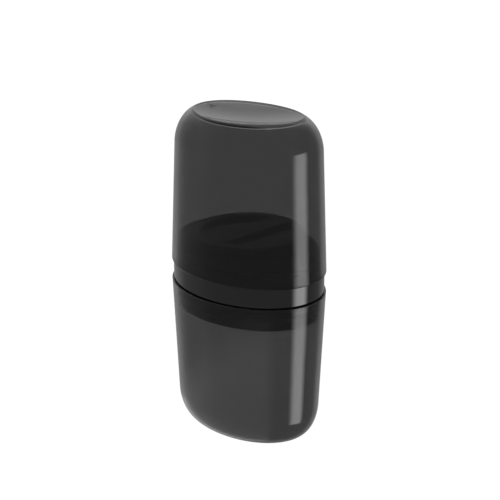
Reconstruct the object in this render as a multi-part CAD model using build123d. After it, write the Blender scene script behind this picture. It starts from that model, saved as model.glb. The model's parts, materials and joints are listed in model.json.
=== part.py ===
from build123d import *
from math import cos, radians, sin, sqrt
import os

# Pill crusher: an oval capsule that stands on end. Two clear cups close over the two ends of a
# black core, and the core holds a screw press: a plug with three helical lugs drives a toothed
# steel plate down on a steel anvil at the bottom of a round well.
# Millimetres, +Z up. The origin is the centre of the face that the capsule stands on, and X runs
# along the oval's long axis. Every oval is the rims' outline moved inwards by an inset.

# Outline and heights of the two cups
HALF_LENGTH = 26.05
HALF_WIDTH = 19.85
TOP_Z = 98.0
UPPER_RIM_Z = 51.6
LOWER_RIM_Z = 45.45
WALL = 1.4
CUP_FLOOR = 1.2
DRAFT = 0.042
TOP_ROUND_RUN = 7.6
TOP_ROUND_RISE = 10.15
BASE_ROUND_RUN = 4.35
BASE_ROUND_RISE = 8.6
ROUND_STEPS = 8

# Dimple in the top: the lip's half axes and its depth below the lip's highest points
LIP_HALF_LENGTH = 18.2
LIP_HALF_WIDTH = 13.0
DIMPLE_DEPTH = 2.0
DIMPLE_RADIUS = 40.0

# Core: an oval housing with a spigot up into one cup and a skirt down into the other
BAND_INSET = 0.55
SPIGOT_INSET = 2.05
SPIGOT_TOP_Z = 59.2
SKIRT_BOTTOM_Z = 38.2
SHADOW_GAP = 0.2
SHADOW_GAP_INSET = 0.8
SEAT_CLEARANCE = 0.03
HOUSING_WALL = 2.2
DECK_THICKNESS = 2.5
EDGE_BREAK = 0.4

# Silicone rings round the spigot and the skirt
SEAL_GROOVE_DEPTH = 1.0
SEAL_HEIGHT = 1.8
SEAL_INSET = 1.7
UPPER_SEAL_Z = 54.4
LOWER_SEAL_Z = 41.2

# Floor plate and its screws
FLOOR_PLATE_THICKNESS = 2.2
FLOOR_PLATE_GAP = 0.08
SCREW_X = 17.6
SCREW_Y = 5.6
BOSS_RADIUS = 2.3
SCREW_RADIUS = 1.1
SCREW_HEAD_RADIUS = 2.1
SCREW_HEAD_HEIGHT = 1.3
SCREW_LENGTH = 9.0
SCREW_GAP = 0.03
SCREW_SLOT = (2.6, 0.5, 1.4)
PILOT_SPARE = 1.0

# Crushing well
WELL_RADIUS = 14.0
WELL_FLANGE_RADIUS = 15.3
WELL_FLANGE_HEIGHT = 2.0
WELL_NOSE_RADIUS = 13.2
WELL_FIT = 0.04
BORE_RADIUS = 10.5
CHANNEL_RADIUS = 12.1
KEYWAY_WIDTH = 3.2
KEYWAY_BOTTOM_Z = 46.2
STARTS = 3

# Screw press: one turn lifts the plug by LEAD, and the three lugs run in three helical channels
LEAD = 16.0
PLUG_RADIUS = 10.43
PLUG_BOTTOM_Z = 49.53
PLUG_FLOOR = 2.6
LUG_Z = 51.4
LUG_ARC = 30.0
LUG_HEIGHT = 2.2
LUG_TIP_RADIUS = 11.8
CHANNEL_HEIGHT = 2.6
CHANNEL_SPARE_ARC = 6.0
ROOT_OVERLAP = 1.0

# Toothed plates
PLATE_FIT = 0.08
ANVIL_THICKNESS = 3.0
PRESSER_BOTTOM_Z = 46.0
PRESSER_TOP_Z = 49.0
EAR_WIDTH = 3.0
EAR_RADIUS = 11.9
TOOTH_PITCH = 2.2
TOOTH_DEPTH = 0.5

# Shoulder screw, washer and threaded insert on the press axis
SHOULDER_RADIUS = 2.0
SHOULDER_HEAD_RADIUS = 3.0
SHOULDER_HEAD_BOTTOM_Z = 46.6
SHOULDER_HEAD_TOP_Z = 47.85
THREAD_RADIUS = 1.25
THREAD_TOP_Z = 55.8
HEX_KEY_WIDTH = 2.0
HEX_KEY_DEPTH = 0.8
AXIS_FIT = 0.05
HEAD_POCKET_RADIUS = 3.2
WASHER_RADIUS = 6.0
INSERT_RADIUS = 2.2
INSERT_TOP_Z = 56.4

# Knob: a round cap over the plug, with a finger bar between two crescent recesses
KNOB_RADIUS = 17.1
KNOB_BOTTOM_Z = 59.5
KNOB_TOP_Z = 62.1
KNOB_EDGE = 0.5
RECESS_RADIUS = 13.8
RECESS_DEPTH = 1.3
BAR_WIDTH = 7.0
FLUTES = 60
FLUTE_RADIUS = 0.4
FLUTE_OUT = 0.13
HUB_HALF_FLATS = 6.4
KNOB_SEAL_INNER = 14.3
KNOB_SEAL_OUTER = 15.7
KNOB_SEAL_HEIGHT = 0.9


def oval(inset, z):
    """The rims' ellipse moved inwards by inset, lying flat at height z."""
    return Pos(0, 0, z) * Ellipse(HALF_LENGTH - inset, HALF_WIDTH - inset)


def oval_post(inset, bottom, top):
    """Straight oval post between two heights."""
    return extrude(oval(inset, bottom), top - bottom)


def post(radius, bottom, top, x=0.0, y=0.0):
    """Round upright post between two heights."""
    return Pos(x, y, (bottom + top) / 2) * Cylinder(radius, top - bottom)


def cup_form(rim, way, depth, run, rise, inset):
    """Solid oval form that leaves its rim upwards (way 1) or downwards (way -1).

    It narrows by DRAFT per millimetre and ends in a quarter-ellipse round, run wide and rise high."""
    straight = depth - rise
    side = [oval(inset, rim), oval(inset + DRAFT * straight, rim + way * straight)]
    sections = []
    for step in range(ROUND_STEPS + 1):
        angle = radians(90 * step / ROUND_STEPS)
        reach = straight + rise * sin(angle)
        sections.append(oval(inset + DRAFT * reach + run * (1 - cos(angle)), rim + way * reach))
    return loft(side, ruled=True) + loft(sections)


def height_on_top_round(inset):
    """Height of the upper cup's outer round where it has moved in by inset from the rim's outline."""
    depth = TOP_Z - UPPER_RIM_Z
    moved_in = inset - DRAFT * depth
    level = 1 - moved_in / TOP_ROUND_RUN
    return TOP_Z - TOP_ROUND_RISE * (1 - sqrt(1 - level * level))


def dimple_half_axis(lip_half_axis, rise):
    """Half axis of the ellipsoid, DIMPLE_RADIUS high, that rises by rise at the lip."""
    level = 1 - rise / DIMPLE_RADIUS
    return lip_half_axis / sqrt(1 - level * level)


def dimple_form(grown):
    """Ellipsoid that hollows the top, grown outwards all round."""
    end_z = height_on_top_round(HALF_LENGTH - LIP_HALF_LENGTH)
    side_z = height_on_top_round(HALF_WIDTH - LIP_HALF_WIDTH)
    floor_z = end_z - DIMPLE_DEPTH
    half_axes = (
        dimple_half_axis(LIP_HALF_LENGTH, end_z - floor_z) + grown,
        dimple_half_axis(LIP_HALF_WIDTH, side_z - floor_z) + grown,
        DIMPLE_RADIUS + grown,
    )
    return Pos(0, 0, floor_z + DIMPLE_RADIUS) * scale(Sphere(1), by=half_axes)


def turned(shape, count):
    """The shape repeated evenly round the Z axis."""
    return [Rot(0, 0, 360 * turn / count) * shape for turn in range(count)]


def helical_bar(inner, outer, height, start_z, start_arc, arc):
    """Bar of rectangular section that climbs LEAD per turn, between two radii."""
    middle = (inner + outer) / 2
    path = Helix(pitch=LEAD, height=LEAD * arc / 360, radius=middle)
    section = Plane(origin=path @ 0, x_dir=(1, 0, 0), z_dir=path % 0) * Rectangle(outer - inner, height)
    bar = sweep(section, path=path, is_frenet=True)
    return Pos(0, 0, start_z) * Rot(0, 0, start_arc) * bar


def tooth_grooves(face_z):
    """V grooves in two directions, cut TOOTH_DEPTH deep into a plate's face."""
    side = TOOTH_DEPTH * sqrt(2)
    lines = int(BORE_RADIUS / TOOTH_PITCH)
    groove = Rot(45, 0, 0) * Box(3 * BORE_RADIUS, side, side)
    grooves = []
    for line in range(-lines, lines + 1):
        one_way = Pos(0, line * TOOTH_PITCH, face_z) * groove
        grooves += [one_way, Rot(0, 0, 90) * one_way]
    return grooves


def make_upper_cup():
    depth = TOP_Z - UPPER_RIM_Z
    outer = cup_form(UPPER_RIM_Z, 1, depth, TOP_ROUND_RUN, TOP_ROUND_RISE, 0)
    inner = cup_form(UPPER_RIM_Z, 1, depth - WALL, TOP_ROUND_RUN - WALL, TOP_ROUND_RISE - WALL, WALL)
    return outer - dimple_form(0) - (inner - dimple_form(WALL))


def make_lower_cup():
    depth = LOWER_RIM_Z
    rise = BASE_ROUND_RISE - CUP_FLOOR
    outer = cup_form(LOWER_RIM_Z, -1, depth, BASE_ROUND_RUN, BASE_ROUND_RISE, 0)
    inner = cup_form(LOWER_RIM_Z, -1, depth - CUP_FLOOR, BASE_ROUND_RUN - WALL, rise, WALL)
    return outer - inner


def seal_ring(outer_inset, bottom):
    """Oval ring from outer_inset in to the bottom of the groove that holds it."""
    top = bottom + SEAL_HEIGHT
    return oval_post(outer_inset, bottom, top) - oval_post(SPIGOT_INSET + SEAL_GROOVE_DEPTH, bottom, top)


def make_seal(bottom):
    ring = seal_ring(SEAL_INSET, bottom)
    rims = ring.edges().group_by(SortBy.LENGTH)[-1]
    return fillet(rims, EDGE_BREAK)


def screw_places():
    return [(x, y) for x in (-SCREW_X, SCREW_X) for y in (-SCREW_Y, SCREW_Y)]


def make_body_housing():
    deck_bottom = SPIGOT_TOP_Z - DECK_THICKNESS
    plate_top = SKIRT_BOTTOM_Z + FLOOR_PLATE_THICKNESS
    core = fillet(
        oval_post(SPIGOT_INSET, SKIRT_BOTTOM_Z, SPIGOT_TOP_Z).edges().sort_by(Axis.Z)[-1], EDGE_BREAK
    )
    band = oval_post(BAND_INSET, LOWER_RIM_Z + SHADOW_GAP, UPPER_RIM_Z - SEAT_CLEARANCE)
    seat = oval_post(SHADOW_GAP_INSET, LOWER_RIM_Z + SEAT_CLEARANCE, LOWER_RIM_Z + SHADOW_GAP)
    cavity = oval_post(SPIGOT_INSET + HOUSING_WALL, SKIRT_BOTTOM_Z, deck_bottom)
    housing = core + band + seat - cavity
    housing += [post(BOSS_RADIUS, plate_top, deck_bottom, x, y) for x, y in screw_places()]
    pilot_top = SKIRT_BOTTOM_Z + SCREW_LENGTH + PILOT_SPARE
    housing -= [post(SCREW_RADIUS + SCREW_GAP, plate_top, pilot_top, x, y) for x, y in screw_places()]
    housing -= post(WELL_NOSE_RADIUS + WELL_FIT, deck_bottom, SPIGOT_TOP_Z)
    return housing - seal_ring(0, UPPER_SEAL_Z) - seal_ring(0, LOWER_SEAL_Z)


def countersunk(radius, head_radius, bottom, top):
    """Shank with a countersunk head whose face is at the bottom."""
    head = Pos(0, 0, bottom + SCREW_HEAD_HEIGHT / 2) * Cone(head_radius, radius, SCREW_HEAD_HEIGHT)
    return head + post(radius, bottom, top)


def make_floor_plate():
    top = SKIRT_BOTTOM_Z + FLOOR_PLATE_THICKNESS
    plate = oval_post(SPIGOT_INSET + HOUSING_WALL + FLOOR_PLATE_GAP, SKIRT_BOTTOM_Z, top)
    hole = countersunk(SCREW_RADIUS + SCREW_GAP, SCREW_HEAD_RADIUS + SCREW_GAP, SKIRT_BOTTOM_Z, top)
    return plate - [Pos(x, y, 0) * hole for x, y in screw_places()]


def make_floor_screws():
    screw = countersunk(
        SCREW_RADIUS, SCREW_HEAD_RADIUS, SKIRT_BOTTOM_Z, SKIRT_BOTTOM_Z + SCREW_LENGTH
    )
    slot = Pos(0, 0, SKIRT_BOTTOM_Z) * Box(*SCREW_SLOT)
    screw = screw - slot - Rot(0, 0, 90) * slot
    return Compound(children=[Pos(x, y, 0) * screw for x, y in screw_places()])


def make_crush_well():
    bottom = SKIRT_BOTTOM_Z + FLOOR_PLATE_THICKNESS
    deck_bottom = SPIGOT_TOP_Z - DECK_THICKNESS
    well = post(WELL_RADIUS, bottom, deck_bottom)
    well += post(WELL_FLANGE_RADIUS, bottom, bottom + WELL_FLANGE_HEIGHT)
    well += post(WELL_NOSE_RADIUS, deck_bottom, SPIGOT_TOP_Z)
    well -= post(BORE_RADIUS, bottom + WELL_FLANGE_HEIGHT, SPIGOT_TOP_Z)
    keyway_height = SPIGOT_TOP_Z - KEYWAY_BOTTOM_Z
    keyway = Pos(CHANNEL_RADIUS / 2, 0, KEYWAY_BOTTOM_Z + keyway_height / 2) * Box(
        CHANNEL_RADIUS, KEYWAY_WIDTH, keyway_height
    )
    well -= turned(keyway, STARTS)
    spare = LEAD * CHANNEL_SPARE_ARC / 360
    start_arc = -LUG_ARC / 2 - CHANNEL_SPARE_ARC
    start_z = LUG_Z - LEAD * LUG_ARC / 720 - spare
    arc = 360 * (SPIGOT_TOP_Z + CHANNEL_HEIGHT - start_z) / LEAD
    channel = helical_bar(BORE_RADIUS - ROOT_OVERLAP, CHANNEL_RADIUS, CHANNEL_HEIGHT, start_z, start_arc, arc)
    for groove in turned(channel, STARTS):
        well -= groove
    return well


def make_anvil_plate():
    bottom = SKIRT_BOTTOM_Z + FLOOR_PLATE_THICKNESS + WELL_FLANGE_HEIGHT
    top = bottom + ANVIL_THICKNESS
    return post(BORE_RADIUS - PLATE_FIT, bottom, top) - tooth_grooves(top)


def make_presser_plate():
    ear_bottom = PRESSER_BOTTOM_Z + TOOTH_DEPTH
    ear = Pos(EAR_RADIUS / 2, 0, (ear_bottom + PRESSER_TOP_Z) / 2) * Box(
        EAR_RADIUS, EAR_WIDTH, PRESSER_TOP_Z - ear_bottom
    )
    plate = post(BORE_RADIUS - PLATE_FIT, PRESSER_BOTTOM_Z, PRESSER_TOP_Z) + turned(ear, STARTS)
    plate -= tooth_grooves(PRESSER_BOTTOM_Z)
    plate -= post(HEAD_POCKET_RADIUS, PRESSER_BOTTOM_Z, SHOULDER_HEAD_TOP_Z + AXIS_FIT)
    return plate - post(SHOULDER_RADIUS + AXIS_FIT, PRESSER_BOTTOM_Z, PRESSER_TOP_Z)


def make_press_screw():
    top = KNOB_BOTTOM_Z - SEAT_CLEARANCE
    plug = post(PLUG_RADIUS, PLUG_BOTTOM_Z, top)
    start_z = LUG_Z - LEAD * LUG_ARC / 720
    lug = helical_bar(PLUG_RADIUS - ROOT_OVERLAP, LUG_TIP_RADIUS, LUG_HEIGHT, start_z, -LUG_ARC / 2, LUG_ARC)
    for thread in turned(lug, STARTS):
        plug += thread
    floor_top = PLUG_BOTTOM_Z + PLUG_FLOOR
    plug -= extrude(Pos(0, 0, floor_top) * hub_section(AXIS_FIT), top - floor_top)
    return plug - post(THREAD_RADIUS + AXIS_FIT, PLUG_BOTTOM_Z, floor_top)


def hub_section(grown):
    """Hexagon that turns the plug with the knob."""
    return RegularPolygon(HUB_HALF_FLATS + grown, 6, major_radius=False)


def make_thrust_washer():
    bottom = PRESSER_TOP_Z + SEAT_CLEARANCE
    top = PLUG_BOTTOM_Z - SEAT_CLEARANCE
    return post(WASHER_RADIUS, bottom, top) - post(SHOULDER_RADIUS + AXIS_FIT, bottom, top)


def make_shoulder_screw():
    screw = post(SHOULDER_HEAD_RADIUS, SHOULDER_HEAD_BOTTOM_Z, SHOULDER_HEAD_TOP_Z)
    screw += post(SHOULDER_RADIUS, SHOULDER_HEAD_TOP_Z, PLUG_BOTTOM_Z)
    screw += post(THREAD_RADIUS, PLUG_BOTTOM_Z, THREAD_TOP_Z)
    key = Pos(0, 0, SHOULDER_HEAD_BOTTOM_Z) * RegularPolygon(HEX_KEY_WIDTH / 2, 6, major_radius=False)
    return screw - extrude(key, HEX_KEY_DEPTH)


def make_threaded_insert():
    bottom = PLUG_BOTTOM_Z + PLUG_FLOOR + AXIS_FIT
    insert = post(INSERT_RADIUS, bottom, INSERT_TOP_Z)
    return insert - post(THREAD_RADIUS + AXIS_FIT, bottom, INSERT_TOP_Z)


def make_knob_cap():
    disc = post(KNOB_RADIUS, KNOB_BOTTOM_Z, KNOB_TOP_Z)
    disc = fillet(disc.edges().group_by(Axis.Z)[-1], KNOB_EDGE)
    recess = post(RECESS_RADIUS, KNOB_TOP_Z - RECESS_DEPTH, KNOB_TOP_Z)
    bar = Pos(0, 0, KNOB_TOP_Z) * Box(BAR_WIDTH, 2 * KNOB_RADIUS, 2 * RECESS_DEPTH)
    disc -= recess - bar
    flute = post(FLUTE_RADIUS, KNOB_BOTTOM_Z, KNOB_TOP_Z - 2 * KNOB_EDGE, KNOB_RADIUS + FLUTE_OUT)
    disc -= turned(flute, FLUTES)
    disc -= knob_seal_groove()
    hub_bottom = PLUG_BOTTOM_Z + PLUG_FLOOR + AXIS_FIT
    knob = disc + extrude(Pos(0, 0, hub_bottom) * hub_section(0), KNOB_BOTTOM_Z - hub_bottom)
    return knob - post(INSERT_RADIUS + SCREW_GAP, hub_bottom, INSERT_TOP_Z)


def knob_seal_groove():
    top = KNOB_BOTTOM_Z + KNOB_SEAL_HEIGHT
    return post(KNOB_SEAL_OUTER, KNOB_BOTTOM_Z, top) - post(KNOB_SEAL_INNER, KNOB_BOTTOM_Z, top)


def make_knob_seal():
    bottom = SPIGOT_TOP_Z + AXIS_FIT
    top = KNOB_BOTTOM_Z + KNOB_SEAL_HEIGHT
    ring = post(KNOB_SEAL_OUTER - SCREW_GAP, bottom, top)
    return ring - post(KNOB_SEAL_INNER + SCREW_GAP, bottom, top)


parts = {
    "lower_cup": make_lower_cup(),
    "upper_cup": make_upper_cup(),
    "body_housing": make_body_housing(),
    "upper_seal": make_seal(UPPER_SEAL_Z),
    "lower_seal": make_seal(LOWER_SEAL_Z),
    "floor_plate": make_floor_plate(),
    "floor_screws": make_floor_screws(),
    "crush_well": make_crush_well(),
    "anvil_plate": make_anvil_plate(),
    "presser_plate": make_presser_plate(),
    "thrust_washer": make_thrust_washer(),
    "shoulder_screw": make_shoulder_screw(),
    "press_screw": make_press_screw(),
    "threaded_insert": make_threaded_insert(),
    "knob_cap": make_knob_cap(),
    "knob_seal": make_knob_seal(),
}
os.makedirs("parts", exist_ok=True)
for name, shape in parts.items():
    export_step(shape, f"parts/{name}.step")
    print(name, round(shape.volume, 1), "mm3")
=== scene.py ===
"""Pill crusher: an oval capsule of two smoked clear cups over a black core with a screw press.

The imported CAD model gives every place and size. This script dresses it: the two cups, the core
and the press get new surfaces, worked out on grids of rings, and every piece gets its finish.
Lengths are in millimetres until a surface becomes a mesh, and +Z is up.
"""

from __future__ import annotations

import json
import logging
from dataclasses import dataclass, field
from enum import Enum

import bpy
import numpy as np
from mathutils import Matrix, Vector
from numpy.typing import NDArray

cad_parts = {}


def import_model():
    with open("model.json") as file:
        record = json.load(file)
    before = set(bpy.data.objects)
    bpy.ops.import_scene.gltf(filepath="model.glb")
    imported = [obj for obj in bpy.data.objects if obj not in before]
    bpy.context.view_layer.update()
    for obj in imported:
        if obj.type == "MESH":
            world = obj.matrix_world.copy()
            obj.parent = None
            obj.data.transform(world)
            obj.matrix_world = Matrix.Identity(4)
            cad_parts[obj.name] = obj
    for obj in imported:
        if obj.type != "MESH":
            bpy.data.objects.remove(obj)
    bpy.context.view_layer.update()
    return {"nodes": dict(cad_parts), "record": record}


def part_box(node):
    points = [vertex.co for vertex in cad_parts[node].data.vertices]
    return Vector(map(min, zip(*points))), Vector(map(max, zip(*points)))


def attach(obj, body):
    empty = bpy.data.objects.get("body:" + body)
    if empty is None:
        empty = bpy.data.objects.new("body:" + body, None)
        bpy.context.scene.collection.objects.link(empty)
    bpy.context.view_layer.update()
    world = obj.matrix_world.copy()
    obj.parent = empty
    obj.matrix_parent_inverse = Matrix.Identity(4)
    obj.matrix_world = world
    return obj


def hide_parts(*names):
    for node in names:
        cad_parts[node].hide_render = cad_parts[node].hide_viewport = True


Array = NDArray[np.float64]
Faces = NDArray[np.int32]

LOG = logging.getLogger("pill_crusher")
MM = 0.001
AROUND = 240
SHARP_ANGLE = np.radians(32.0)
EDGE_STEPS = 5
SUPPORT = 0.05
SEARCH_STEPS = 44
SAME_PLACE = 1e-6
NOISE_USUAL = (0.3, 0.7)
WELD_DIGITS = 5


class End(Enum):
    """How a stack of rings ends: in poles, in a pole at one end only, or last ring to first."""

    POLES = "poles"
    FIRST_POLE = "first pole"
    LAST_POLE = "last pole"
    LOOP = "loop"


@dataclass(frozen=True)
class Skin:
    """A closed surface as arrays.

    points are in millimetres, quads and tris hold indices into them.
    """

    points: Array
    quads: Faces
    tris: Faces

    def volume(self) -> float:
        """Signed volume: a sixth of the sum of each triangle's corner triple product.

        Returns:
            Cubic millimetres, above 0 if the faces point outwards.
        """
        halves = np.concatenate([self.quads[:, [0, 1, 2]], self.quads[:, [0, 2, 3]], self.tris])
        a, b, c = (self.points[halves[:, corner]] for corner in range(3))
        return float(np.einsum("ij,ij->i", a, np.cross(b, c)).sum() / 6)

    def outward(self) -> Skin:
        """Turns the faces to point outwards.

        Returns:
            This skin, or one whose faces run the other way round.
        """
        if self.volume() >= 0:
            return self
        return Skin(self.points, self.quads[:, ::-1], self.tris[:, ::-1])

    def welded(self) -> Skin:
        """Makes points that lie in one place one.

        Returns:
            The same surface with shared points along its joins.
        """
        at = np.round(self.points, WELD_DIGITS) + 0.0
        _, first, index = np.unique(at, axis=0, return_index=True, return_inverse=True)
        index = index.reshape(-1).astype(np.int32)
        return Skin(self.points[first], index[self.quads], index[self.tris])

    def turned(self, angle: float, shift: tuple[float, float] = (0.0, 0.0)) -> Skin:
        """Turns the skin about Z, then moves it sideways.

        Args:
            angle: the turn in radians.
            shift: the move along X and Y.

        Returns:
            The skin in its new place.
        """
        x, y, z = self.points.T
        cos, sin = np.cos(angle), np.sin(angle)
        moved = np.stack([x * cos - y * sin + shift[0], x * sin + y * cos + shift[1], z], axis=1)
        return Skin(moved, self.quads, self.tris)

    def plus(self, other: Skin) -> Skin:
        """Puts this skin and another in one.

        Args:
            other: the skin to add, whose points stay separate.

        Returns:
            Both surfaces as one skin.
        """
        shift = len(self.points)
        return Skin(
            np.concatenate([self.points, other.points]),
            np.concatenate([self.quads, other.quads + shift]),
            np.concatenate([self.tris, other.tris + shift]),
        )


def stacked(rings: Array, end: End = End.POLES) -> Skin:
    """Joins rings into a closed skin.

    Each ring's place k is joined by a quad to places k and k + 1 of the next ring. With poles,
    a fan of triangles joins each outer ring to the mean of its points.

    Args:
        rings: points of shape (rings, around, 3).
        end: how the first and last ring close.

    Returns:
        The skin, facing outwards if it is closed.
    """
    count, around, _ = rings.shape
    place = np.arange(around)
    after = (place + 1) % around
    joins = np.arange(count if end is End.LOOP else count - 1)[:, None]
    low, high = joins * around, (joins + 1) % count * around
    quads = np.stack([low + place, low + after, high + after, high + place], axis=-1)
    points = rings.reshape(-1, 3)
    fans = [np.empty((0, 3), np.int32)]
    if end in (End.POLES, End.FIRST_POLE):
        fans.append(np.stack([np.full(around, len(points)), after, place], axis=-1))
        points = np.concatenate([points, rings[:1].mean(axis=1)])
    if end in (End.POLES, End.LAST_POLE):
        top = (count - 1) * around
        fans.append(np.stack([np.full(around, len(points)), top + place, top + after], axis=-1))
        points = np.concatenate([points, rings[-1:].mean(axis=1)])
    skin = Skin(points, quads.reshape(-1, 4).astype(np.int32), np.concatenate(fans).astype(np.int32))
    return skin.outward() if end in (End.POLES, End.LOOP) else skin


def rounded(corners: list[tuple[float, float]], radii: list[float]) -> Array:
    """Runs a polyline with its corners turned into arcs.

    An arc starts and ends radius * tan(turn / 2) from its corner, on the circle that touches both
    sides. A point just outside each end of an arc keeps the flats flat when they are shaded.

    Args:
        corners: the polyline's corners.
        radii: each corner's radius; 0 keeps the corner.

    Returns:
        Points of shape (n, 2), without repeats.
    """
    at = np.array(corners, float)
    radius = np.array(radii, float)
    step = np.diff(at, axis=0)
    step /= np.linalg.norm(step, axis=1)[:, None]
    before = np.concatenate([step[:1], step])
    after = np.concatenate([step, step[-1:]])
    turn = np.arctan2(before[:, 0] * after[:, 1] - before[:, 1] * after[:, 0], (before * after).sum(axis=1))
    reach = (radius * np.tan(np.abs(turn) / 2))[:, None]
    side = np.stack([-before[:, 1], before[:, 0]], axis=1) * (radius * np.sign(turn))[:, None]
    centre = at - before * reach + side
    angle = turn[:, None] * np.linspace(0, 1, EDGE_STEPS + 1)
    spoke = -side
    arc = np.stack(
        [
            spoke[:, :1] * np.cos(angle) - spoke[:, 1:] * np.sin(angle),
            spoke[:, :1] * np.sin(angle) + spoke[:, 1:] * np.cos(angle),
        ],
        axis=-1,
    )
    arc += centre[:, None, :]
    margin = np.where(radius > 0, SUPPORT, 0.0)[:, None]
    ends = arc[:, :1] - (before * margin)[:, None], arc[:, -1:] + (after * margin)[:, None]
    line = np.concatenate([ends[0], arc, ends[1]], axis=1).reshape(-1, 2)
    fresh = np.linalg.norm(np.diff(line, axis=0), axis=1) > SAME_PLACE
    return line[np.concatenate([[True], fresh])]


def turns(around: int = AROUND) -> Array:
    """Evenly spaced angles of one whole turn."""
    return np.linspace(0, 2 * np.pi, around, endpoint=False)


def lathe(profile: Array, around: int = AROUND) -> Array:
    """Carries each point of a profile round the Z axis: radius times cosine and sine.

    Args:
        profile: points of (radius, height).
        around: points in one ring.

    Returns:
        Rings of shape (profile points, around, 3).
    """
    angle = turns(around)
    radius = profile[:, :1]
    height = np.broadcast_to(profile[:, 1:], (len(profile), around))
    return np.stack([radius * np.cos(angle), radius * np.sin(angle), height], axis=-1)


def add_mesh(name: str, skin: Skin, body: str, node: str) -> bpy.types.Object:
    """Makes the mesh object for a skin that stands for a CAD node.

    Args:
        name: the piece's name.
        skin: its surface in millimetres.
        body: the CAD body that it rides on.
        node: the CAD node that it replaces, or nothing.

    Returns:
        The new object, smooth but for edges sharper than SHARP_ANGLE.
    """
    mesh = bpy.data.meshes.new(name)
    polygons = [*skin.quads.tolist(), *skin.tris.tolist()]
    mesh.from_pydata((skin.points * MM).tolist(), [], polygons)
    mesh.polygons.foreach_set("use_smooth", np.ones(len(polygons), bool))
    mesh.set_sharp_from_angle(angle=SHARP_ANGLE)
    mesh.validate()
    piece = bpy.data.objects.new(name, mesh)
    bpy.context.scene.collection.objects.link(piece)
    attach(piece, body)
    if node:
        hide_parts(node)
    LOG.info("%s: %d faces, stands for %s on %s", name, len(polygons), node or "no CAD node", body)
    return piece


# ------------------------------------------------------------------------------- finishes


class Shader:
    """A material's node tree with one Principled surface, and short ways to add nodes to it."""

    def __init__(self, name: str) -> None:
        """Starts the material and finds its Principled node.

        Args:
            name: the material's name.
        """
        self.material = bpy.data.materials.new(name)
        self.material.use_nodes = True
        self.tree = self.material.node_tree
        self.surface = self.tree.nodes["Principled BSDF"]

    def set(self, **values: float | tuple[float, ...]) -> None:
        """Sets the surface's plain sockets; an underscore in a name stands for a space."""
        for name, value in values.items():
            self.surface.inputs[name.replace("_", " ")].default_value = value

    def node(self, kind: str, **settings: object) -> bpy.types.Node:
        """Adds a node of a kind.

        Args:
            kind: the node's type name.
            settings: its properties by name.

        Returns:
            The new node.
        """
        made = self.tree.nodes.new(kind)
        for name, value in settings.items():
            setattr(made, name, value)
        return made

    def link(self, source: bpy.types.NodeSocket, target: bpy.types.NodeSocket) -> None:
        """Joins two sockets."""
        self.tree.links.new(source, target)

    def place(self) -> bpy.types.NodeSocket:
        """The piece's own Object coordinates, in metres."""
        return self.node("ShaderNodeTexCoord").outputs["Object"]

    def noise(self, scale: float, detail: float = 2.0) -> bpy.types.NodeSocket:
        """Adds a noise pattern on Object coordinates.

        Args:
            scale: the pattern's size, per metre.
            detail: how many finer layers it has.

        Returns:
            The pattern's value, near 0.5 with most of it between 0.3 and 0.7.
        """
        noise = self.node("ShaderNodeTexNoise")
        noise.inputs["Scale"].default_value = scale
        noise.inputs["Detail"].default_value = detail
        self.link(self.place(), noise.inputs["Vector"])
        return noise.outputs["Fac"]

    def ranged(self, value: bpy.types.NodeSocket, low: float, high: float) -> bpy.types.NodeSocket:
        """Spreads a noise's usual values over a range.

        Args:
            value: the noise.
            low: what its usual lowest value becomes.
            high: what its usual highest value becomes.

        Returns:
            The spread value, held between low and high.
        """
        mapped = self.node("ShaderNodeMapRange")
        mapped.inputs["From Min"].default_value = NOISE_USUAL[0]
        mapped.inputs["From Max"].default_value = NOISE_USUAL[1]
        mapped.inputs["To Min"].default_value = low
        mapped.inputs["To Max"].default_value = high
        self.link(value, mapped.inputs["Value"])
        return mapped.outputs["Result"]

    def roughness(self, pattern: bpy.types.NodeSocket, low: float, high: float) -> None:
        """Lets a pattern drive the roughness between two values."""
        self.link(self.ranged(pattern, low, high), self.surface.inputs["Roughness"])

    def bump(self, height: bpy.types.NodeSocket, depth_mm: float) -> None:
        """Raises the surface by a pattern.

        Args:
            height: the pattern.
            depth_mm: how high its value 1 stands.
        """
        bump = self.node("ShaderNodeBump")
        bump.inputs["Strength"].default_value = 1.0
        bump.inputs["Distance"].default_value = depth_mm * MM
        self.link(height, bump.inputs["Height"])
        self.link(bump.outputs["Normal"], self.surface.inputs["Normal"])


@dataclass(frozen=True)
class SmokedClear:
    """Clear smoke-tinted plastic, polished in the mould.

    A ray through one wall keeps passed of its light, and a ray through a whole cup passed squared.
    """

    name: str = "smoked_clear"
    passed: float = 0.194
    ior: float = 1.5
    polish: tuple[float, float] = (0.0, 0.012)
    polish_per_metre: float = 90.0

    def material(self) -> bpy.types.Material:
        """Tinted transmission with a faint change of polish from place to place.

        Returns:
            The new material.
        """
        shader = Shader(self.name)
        tint = (self.passed, self.passed, self.passed, 1.0)
        shader.set(Base_Color=tint, Transmission_Weight=1.0, IOR=self.ior)
        shader.roughness(shader.noise(self.polish_per_metre), *self.polish)
        return shader.material


@dataclass(frozen=True)
class BlackPlastic:
    """Opaque black moulded plastic, from polished to finely etched."""

    name: str
    shade: float
    ior: float
    dullness: tuple[float, float]
    grain_per_metre: float
    grain_mm: float
    polish_per_metre: float = 140.0
    coolness: float = 1.03

    def material(self) -> bpy.types.Material:
        """Black with a grain and a faint change of polish from place to place.

        Returns:
            The new material.
        """
        shader = Shader(self.name)
        shader.set(Base_Color=(self.shade, self.shade, self.shade * self.coolness, 1.0), IOR=self.ior)
        shader.roughness(shader.noise(self.polish_per_metre), *self.dullness)
        shader.bump(shader.noise(self.grain_per_metre, detail=3.0), self.grain_mm)
        return shader.material


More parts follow.
